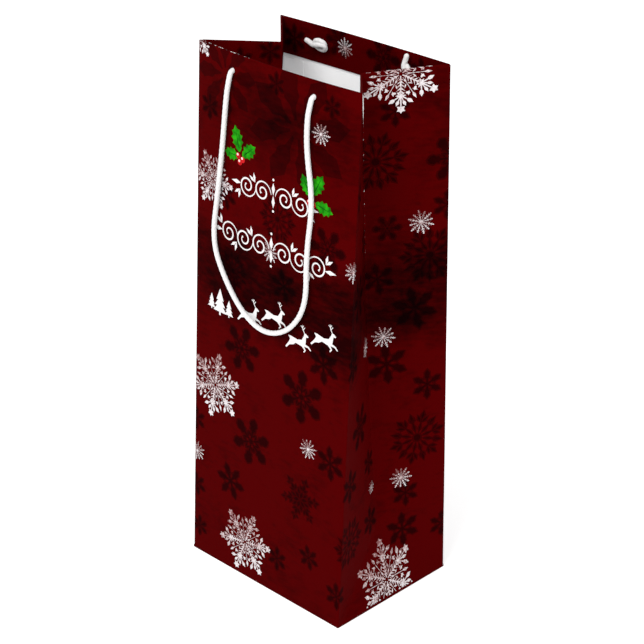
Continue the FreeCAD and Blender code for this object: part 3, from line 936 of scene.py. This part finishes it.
def cut_sheet(shapes):
    """The flat sheet as triangles that follow the grid, the creases and every printed outline."""
    columns, rows = sheet_lines()
    points = [(s, v) for v in rows for s in columns]
    width = len(columns)
    edges = []
    for c in range(width):
        near_crease = np.abs(CORNERS - columns[c]).min() < CREASE_RADIUS + 0.01
        if near_crease:
            edges += [(r * width + c, (r + 1) * width + c) for r in range(len(rows) - 1)]
    for r, v in enumerate(rows):
        if v >= RIM - 0.01 or r == 0:
            edges += [(r * width + c, r * width + c + 1) for c in range(width - 1)]
    for crease in (CORNERS[2], CORNERS[5]):
        for way in (-1, 1):
            ends = [(crease + way * DEPTH / 2 * (1 - z / FOOT_RISE), z) for z in (rows[0], FOOT_RISE)]
            edges.append((len(points), len(points) + 1))
            points += ends
    for _, outline in shapes:
        outline = clip_to_sheet(outline, rows[0], rows[-1])
        if len(outline) < 3:
            continue
        first = len(points)
        points += [tuple(p) for p in outline]
        edges += [(first + k, first + (k + 1) % len(outline)) for k in range(len(outline))]
    made = delaunay_2d_cdt([Vector(p) for p in points], edges, [], 0, 0.02)
    flat = np.array([tuple(p) for p in made[0]])
    triangles = np.array([tuple(f) for f in made[2]])
    centres = flat[triangles].mean(axis=1)
    kept = ((centres > (0, rows[0])) & (centres < (GIRTH, rows[-1]))).all(axis=1)
    return flat, triangles[kept], centres[kept]


def clip_to_sheet(outline, low, high):
    """The part of an outline that lies on the sheet."""
    for axis, limit, keep in ((0, 0.0, 1), (0, GIRTH, -1), (1, low, 1), (1, high, -1)):
        if ((outline[:, axis] - limit) * keep >= 0).all():
            continue
        kept = []
        for here, after in zip(outline, np.roll(outline, -1, axis=0)):
            inside_here = (here[axis] - limit) * keep >= 0
            inside_after = (after[axis] - limit) * keep >= 0
            if inside_here:
                kept.append(here)
            if inside_here != inside_after:
                share = (limit - here[axis]) / (after[axis] - here[axis])
                kept.append(here + (after - here) * share)
        outline = np.array(kept)
        if len(outline) < 3:
            return outline
    return outline


def ink_of(centres, shapes):
    """The highest ink that covers each point; the points are searched in order round the sheet."""
    rank = {name: place for place, name in enumerate(INKS)}
    order = np.argsort(centres[:, 0])
    along = centres[order]
    ink = np.zeros(len(centres), int)
    for name, outline in shapes:
        low, high = outline.min(0), outline.max(0)
        first, last = np.searchsorted(along[:, 0], (low[0], high[0]))
        level = along[first:last, 1]
        near = first + np.flatnonzero((level >= low[1]) & (level <= high[1]))
        struck = order[near[inside(along[near], outline)]]
        ink[struck] = np.maximum(ink[struck], rank[name])
    return ink


def thickened(points, faces, depth):
    """A closed shell: the sheet's outside, its inside set back by depth, and its cut edges."""
    points = np.asarray(points)
    corners = points[faces]
    normals = np.cross(corners[:, 1] - corners[:, 0], corners[:, 2] - corners[:, 0])
    at_points = np.zeros_like(points)
    for k in range(3):
        np.add.at(at_points, faces[:, k], normals)
    at_points /= np.maximum(np.linalg.norm(at_points, axis=1), 1e-12)[:, None]
    count = len(points)
    sides = np.vstack([faces[:, [0, 1]], faces[:, [1, 2]], faces[:, [2, 0]]])
    key = np.sort(sides, axis=1)
    _, first, uses = np.unique(key, axis=0, return_index=True, return_counts=True)
    rim = sides[first[uses == 1]]
    back = faces[:, ::-1] + count
    edge = np.vstack([np.column_stack([rim[:, 1], rim[:, 0], rim[:, 0] + count]),
                      np.column_stack([rim[:, 1], rim[:, 0] + count, rim[:, 1] + count])])
    return np.vstack([points, points - at_points * depth]), np.vstack([faces, back, edge])


def merged(points, faces, tolerance=1e-3):
    """The same mesh with points in one place joined, without slivers or loose points, and which faces and
    which points are kept."""
    keys = np.round(points / tolerance).astype(np.int64)
    _, first, index = np.unique(keys, axis=0, return_index=True, return_inverse=True)
    faces = index.reshape(-1)[faces]
    distinct = (faces[:, 0] != faces[:, 1]) & (faces[:, 1] != faces[:, 2]) & (faces[:, 2] != faces[:, 0])
    used, faces = np.unique(faces[distinct], return_inverse=True)
    return points[first[used]], faces.reshape(-1, 3), distinct, first[used]


def crease_wear(flat):
    """Where the print has rubbed off: the top of the right crease, and the front rim's left end."""
    s, v = flat[:, 0], flat[:, 1]
    on_crease = np.clip(1.25 - np.abs(s - CORNERS[2]) / 0.8, 0, 1)
    down = np.interp(v, (150, 215, 302, 307, 318, 322), (0.0, 0.61, 0.63, 1.1, 1.1, 0.3))
    on_rim = np.clip(1.25 - np.abs(v - (RIM + ARC / 2)) / 1.0, 0, 1)
    along = np.interp(s, (0, 5, 40, 60, WIDTH), (0.85, 0.72, 0.66, 0.35, 0.2))
    return np.maximum(on_crease * down, np.where(s < WIDTH, on_rim * along, 0))


def cloudiness(flat):
    """How dark the ground is: a wide band round the bag by the scrollwork and deer, and one by the rim."""
    s, v = flat[:, 0], flat[:, 1]
    band = 0.72 * np.exp(-((v - 196) / 30) ** 4)
    top = 0.55 * np.exp(-((v - 302) / 22) ** 2) * (0.6 + 0.4 * np.cos((s - 80) / 30.0))
    patches = 0.10 * np.sin(s / 19.0 + v / 37.0) * np.sin(v / 23.0 - s / 41.0)
    return 0.10 + band + top + patches


def make_sheet():
    frost_shapes, flakes = white_flakes()
    shapes = dark_flakes() + frost_shapes + front_picture()
    flat, triangles, centres = cut_sheet(shapes)
    ink = ink_of(centres, shapes)
    values = {"wear": crease_wear(flat), "cloud": cloudiness(flat), "frost": frost_strength(flat, flakes)}
    solid, triangles, distinct, kept_points = merged(folded(flat[:, 0], flat[:, 1]), triangles)
    ink = ink[distinct]
    points, faces = thickened(solid, triangles, PLY)
    sheet = link_mesh("printed_sheet", points, faces, *ink_materials.values())
    slots = np.full(len(faces), INKS.index("inside"))
    slots[:len(ink)] = ink
    cut_edges = np.arange(2 * len(ink), len(faces))
    at_foot = points[faces[cut_edges], 2].max(axis=1) < SHEET_FOOT + 0.5
    slots[cut_edges[at_foot]] = INKS.index("ground")
    sheet.data.polygons.foreach_set("material_index", slots.astype(np.int32))
    for name, value in values.items():
        give_attribute(sheet, name, np.tile(value[kept_points], 2))
    sheet.data.set_sharp_from_angle(angle=math.radians(50))
    return sheet


on_bag(make_sheet(), "printed_paper", "front_panel", "back_panel", "left_gusset_front", "left_gusset_rear",
       "right_gusset_front", "right_gusset_rear", "left_gusset_foot", "right_gusset_foot", "front_hem",
       "back_hem", "left_hem_front", "left_hem_rear", "right_hem_front", "right_hem_rear")


# ---- plies inside the sheet, and the folded base

CARD_PLY = 0.5
CARD_MARGIN = 2.5            # between a card's ends and the panel's creases
CARD_DROP = 0.4              # how far a card's top edge lies below the CAD card's
GLUE_GAP = 0.02
SEAM_MARGIN = 1.5            # between the glue flap and the back left crease
SEAM_FOOT = 2.0


def ply_patch(name, s_range, z_range, depth, material, steps=(24, 8)):
    """A closed strip of card or paper that follows the wall's inner face."""
    grid_s, grid_z = np.meshgrid(np.linspace(*s_range, steps[0] + 1), np.linspace(*z_range, steps[1] + 1))
    points = wall(grid_s.ravel(), grid_z.ravel(), PLY + GLUE_GAP)
    points, faces = thickened(points, grid_faces(steps[1], steps[0]), depth)
    piece = link_mesh(name, points, faces, material)
    piece.data.set_sharp_from_angle(angle=math.radians(40))
    return piece


for name, start in (("front_hem_card", CORNERS[0]), ("back_hem_card", CORNERS[3])):
    low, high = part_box(name)
    card = ply_patch(name + "_strip", (start + CARD_MARGIN, start + WIDTH - CARD_MARGIN),
                     (low.z / MM, high.z / MM - CARD_DROP), CARD_PLY, card_material)
    on_bag(card, "hem_card", name)

low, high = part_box("seam_flap")
seam_end = CORNERS[4] - SEAM_MARGIN
seam = ply_patch("glue_flap", (seam_end - (high.x - low.x) / MM, seam_end), (SEAM_FOOT, high.z / MM), PLY,
                 ink_materials["inside"], (4, 60))
on_bag(seam, "printed_paper", "seam_flap")


BASE_BEND = 0.4              # the radius of the base edge
FLAP_LIFT = 4.0              # how far in from that edge a flap takes to rise to its level
FLAP_TAPER = 8.0             # how much narrower a flap is at its free edge, on each side
FLAP_COLUMNS = 24
FLAP_CLOUD = 0.15            # how dark the ground is under the bag


def base_flap(name, across, back, width, level):
    """A flap folded under from the foot of a wall: it rounds the base edge, lifts to its level in the
    stack and lies flat. back is the outward direction of its wall, across the direction along the wall."""
    low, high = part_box(name)
    is_side = abs(back[0]) > 0.5
    reach = (high - low).x / MM if is_side else (high - low).y / MM
    wall_at = WIDTH / 2 if is_side else DEPTH / 2
    foot = wall(np.array([CORNERS[2] if is_side else FRONT_MIDDLE]), np.array([SHEET_FOOT]))[0]
    top_inset = wall_at - abs(foot[0 if is_side else 1])
    profile = [(wall_at - top_inset, SHEET_FOOT),
               (wall_at - 0.5 * top_inset, 0.5 * (SHEET_FOOT + BASE_BEND))]
    for angle in np.arange(7) / 6 * math.pi / 2:
        profile.append((wall_at - BASE_BEND * (1 - math.cos(angle)), BASE_BEND * (1 - math.sin(angle))))
    for inward in (1.0, 2.0, 3.0, FLAP_LIFT, *np.linspace(FLAP_LIFT, reach - BASE_BEND, 9)[1:]):
        profile.append((wall_at - BASE_BEND - inward, level * min(1.0, inward / FLAP_LIFT)))
    points = []
    for out, z in profile:
        inward = max(0.0, wall_at - BASE_BEND - out)
        mitre = min(wall_at - out, BASE_BEND + FLAP_LIFT)
        half = width / 2 - mitre - FLAP_TAPER * inward / (reach - BASE_BEND)
        for side in half * (2 * np.arange(FLAP_COLUMNS + 1) / FLAP_COLUMNS - 1):
            points.append((back[0] * out + across[0] * side, back[1] * out + across[1] * side, z))
    one_side = grid_faces(len(profile) - 1, FLAP_COLUMNS)[:, [0, 2, 1]]
    points, faces = thickened(np.array(points), one_side, -PLY)
    flap = link_mesh(name + "_fold", points, faces, ink_materials["inside"], ink_materials["ground"])
    printed = np.ones(len(faces), np.int32)
    printed[len(one_side):2 * len(one_side)] = 0
    flap.data.polygons.foreach_set("material_index", printed)
    give_attribute(flap, "cloud", np.full(len(points), FLAP_CLOUD))
    give_attribute(flap, "wear", np.zeros(len(points)))
    flap.data.set_sharp_from_angle(angle=math.radians(40))
    on_bag(flap, "printed_paper", name)


base_flap("back_base_flap", (1, 0), (0, 1), WIDTH, 0.0)
base_flap("front_base_flap", (-1, 0), (0, -1), WIDTH, PLY)
base_flap("left_base_flap", (0, 1), (-1, 0), DEPTH, 2 * PLY)
base_flap("right_base_flap", (0, -1), (1, 0), DEPTH, 2 * PLY)

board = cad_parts["base_board"]
board.data.materials.clear()
board.data.materials.append(base_board_material)


# ---- handles and knots

def make_knot(name):
    end, face, mirror, turn, shift, spread, tail = KNOTS[name]
    angle = math.radians(turn)
    hem_y = half_depth(HOLE_RISE) - 2 * FOLD_RADIUS
    bow = FRONT_BOW if face < 0 else BACK_BOW
    bow *= (1 - (HOLE_SPREAD / WIDTH) ** 2) * (HOLE_RISE / HEIGHT) ** 1.5
    route = []
    for number, (x, inward, up) in enumerate(KNOT):
        share = min(1.0, number / 2.0)
        x = x * mirror * spread
        if number >= len(KNOT) - 2:
            x, up = x * tail, up * tail
        across = x * math.cos(angle) - up * math.sin(angle) + shift * share
        rise = x * math.sin(angle) + up * math.cos(angle)
        y = face * (hem_y + bow - inward - ROPE / 4 * share)
        route.append((end * HOLE_SPREAD / 2 + across, y, HOLE_RISE + rise))
    knot = rope_mesh(name + "_rope", nurbs_line(route))
    on_bag(knot, "handle_rope", name)
    return knot


def make_handle(name, route):
    line = nurbs_line(route)
    cord = rope_mesh(name + "_rope", line / MM)
    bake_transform(cord)
    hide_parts(name)


knots = {name: make_knot(name) for name in KNOTS}
for panel, route, face in (("front", FRONT_ROUTE, -1), ("back", BACK_ROUTE, 1)):
    make_handle(panel + "_handle_cord", route)


# ---- floor and light

FLOOR_REACH = 6000.0
FLOOR_LEVEL = -0.2
FLOOR_GLOW = 0.36            # keeps the floor as pale as the photo's white ground
# The lights' places and sizes are in metres.
LIGHT_AIM = (0, 0, 0.2)
LIGHTS = {
    # name: (place, size, watts)
    "key": ((0.25, -1.85, 2.2), 1.6, 56),
    "fill": ((2.1, -0.5, 1.6), 1.8, 22),
}
WORLD_LIGHT = 0.70


def make_floor():
    corners = [(-FLOOR_REACH, -FLOOR_REACH, FLOOR_LEVEL), (FLOOR_REACH, -FLOOR_REACH, FLOOR_LEVEL),
               (FLOOR_REACH, FLOOR_REACH, FLOOR_LEVEL), (-FLOOR_REACH, FLOOR_REACH, FLOOR_LEVEL)]
    material, tree, shader = new_material("floor", 0.9, 0.1)
    speckle = ramp(tree, noise(tree, 40.0), [(0.3, (0.86, 0.86, 0.86)), (0.7, (0.88, 0.88, 0.88))])
    tree.links.new(speckle, shader.inputs["Base Color"])
    shader.inputs["Emission Color"].default_value = (1.0, 1.0, 1.0, 1.0)
    shader.inputs["Emission Strength"].default_value = FLOOR_GLOW
    link_mesh("floor", corners, [(0, 1, 2, 3)], material)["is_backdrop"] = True


def area_light(name, place, size, power):
    data = bpy.data.lights.new(name, "AREA")
    data.shape = "DISK"
    data.size = size
    data.energy = power
    lamp = link(name, data)
    lamp.location = place
    lamp.rotation_mode = "QUATERNION"
    lamp.rotation_quaternion = (Vector(LIGHT_AIM) - Vector(place)).to_track_quat("-Z", "Y")


make_floor()
for name, (place, size, power) in LIGHTS.items():
    area_light(name, place, size, power)
world = bpy.data.worlds.new("studio")
bpy.context.scene.world = world
world.use_nodes = True
world.node_tree.nodes["Background"].inputs["Color"].default_value = (1.0, 1.0, 1.0, 1.0)
world.node_tree.nodes["Background"].inputs["Strength"].default_value = WORLD_LIGHT
bpy.context.scene.view_settings.view_transform = "Standard"

low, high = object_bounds()
